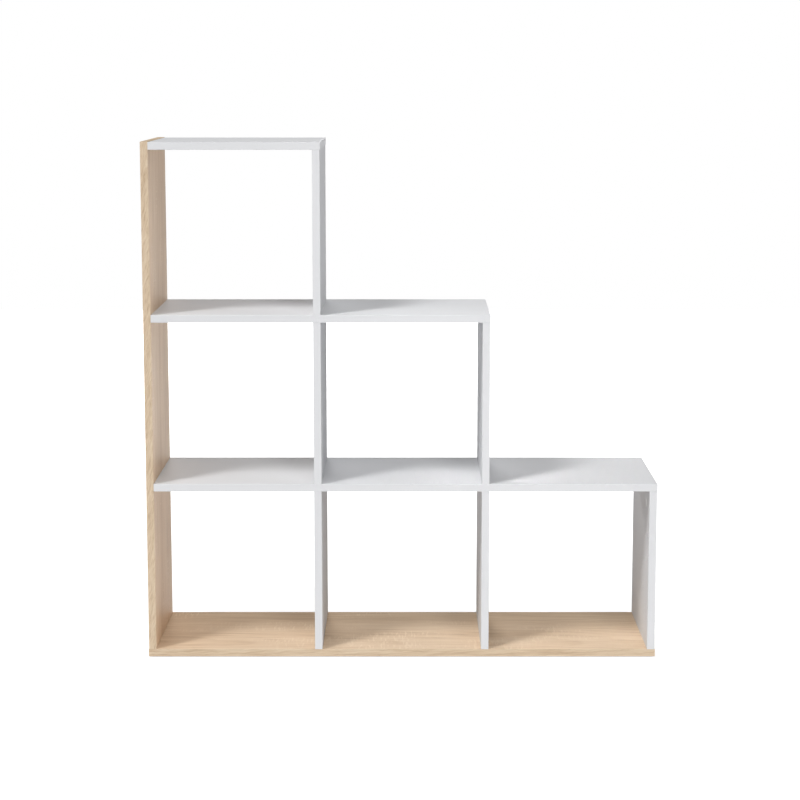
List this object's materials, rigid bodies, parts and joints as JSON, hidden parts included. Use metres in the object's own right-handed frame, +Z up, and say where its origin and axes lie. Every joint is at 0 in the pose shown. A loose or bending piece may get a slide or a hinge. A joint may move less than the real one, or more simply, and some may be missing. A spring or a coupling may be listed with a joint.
{
  "type": "staircase bookshelf",
  "caption": "Free-standing staircase bookshelf of open cube compartments: white boards on an oak-look base, against a tall oak-look left side panel, open at the back.",
  "frame": {"origin": "on the floor, under the middle of the unit's box", "axes": "+Z up, +X to the right seen from the front, the way the steps come down, +Y from the front to the back"},
  "size_m": [1.092, 0.29, 1.109],
  "materials": {
    "oak_board": "oak-look melamine on chipboard, satin, with grain",
    "white_board": "white melamine on chipboard, satin, fine texture",
    "oak_edging": "oak-look plastic edge band, satin",
    "white_edging": "white plastic edge band, satin",
    "beech": "bare beech",
    "zinc_cam": "bare die-cast zinc",
    "bolt_steel": "zinc-plated steel",
    "screw_steel": "zinc-plated steel",
    "white_cap": "white moulded plastic",
    "glide_plastic": "white moulded plastic"
  },
  "bodies": {
    "root": {"base_dowels": "beech", "base_panel": "oak_board", "base_panel_back_band": "oak_edging", "base_panel_front_band": "oak_edging", "base_panel_left_band": "oak_edging", "base_panel_right_band": "oak_edging", "base_screws": "screw_steel", "end_cam_bolts": "bolt_steel", "end_dowels": "beech", "floor_glides": "glide_plastic", "glide_nails": "screw_steel", "left_side_panel": "oak_board", "left_side_panel_back_band": "oak_edging", "left_side_panel_front_band": "oak_edging", "left_side_panel_top_band": "oak_edging", "lower_end_panel": "white_board", "lower_end_panel_back_band": "white_edging", "lower_end_panel_front_band": "white_edging", "lower_shelf": "white_board", "lower_shelf_back_band": "white_edging", "lower_shelf_front_band": "white_edging", "lower_shelf_right_band": "white_edging", "lower_upright_1": "white_board", "lower_upright_1_back_band": "white_edging", "lower_upright_1_front_band": "white_edging", "lower_upright_2": "white_board", "lower_upright_2_back_band": "white_edging", "lower_upright_2_front_band": "white_edging", "middle_end_panel": "white_board", "middle_end_panel_back_band": "white_edging", "middle_end_panel_front_band": "white_edging", "middle_shelf": "white_board", "middle_shelf_back_band": "white_edging", "middle_shelf_front_band": "white_edging", "middle_shelf_right_band": "white_edging", "middle_upright_1": "white_board", "middle_upright_1_back_band": "white_edging", "middle_upright_1_front_band": "white_edging", "shelf_cam_caps": "white_cap", "shelf_cams": "zinc_cam", "side_cam_bolts": "bolt_steel", "side_dowels": "beech", "through_cam_bolts": "bolt_steel", "through_dowels": "beech", "top_end_panel": "white_board", "top_end_panel_back_band": "white_edging", "top_end_panel_front_band": "white_edging", "top_shelf": "white_board", "top_shelf_back_band": "white_edging", "top_shelf_front_band": "white_edging", "top_shelf_right_band": "white_edging", "upright_cam_caps": "white_cap", "upright_cams": "zinc_cam"}
  },
  "joints": []
}
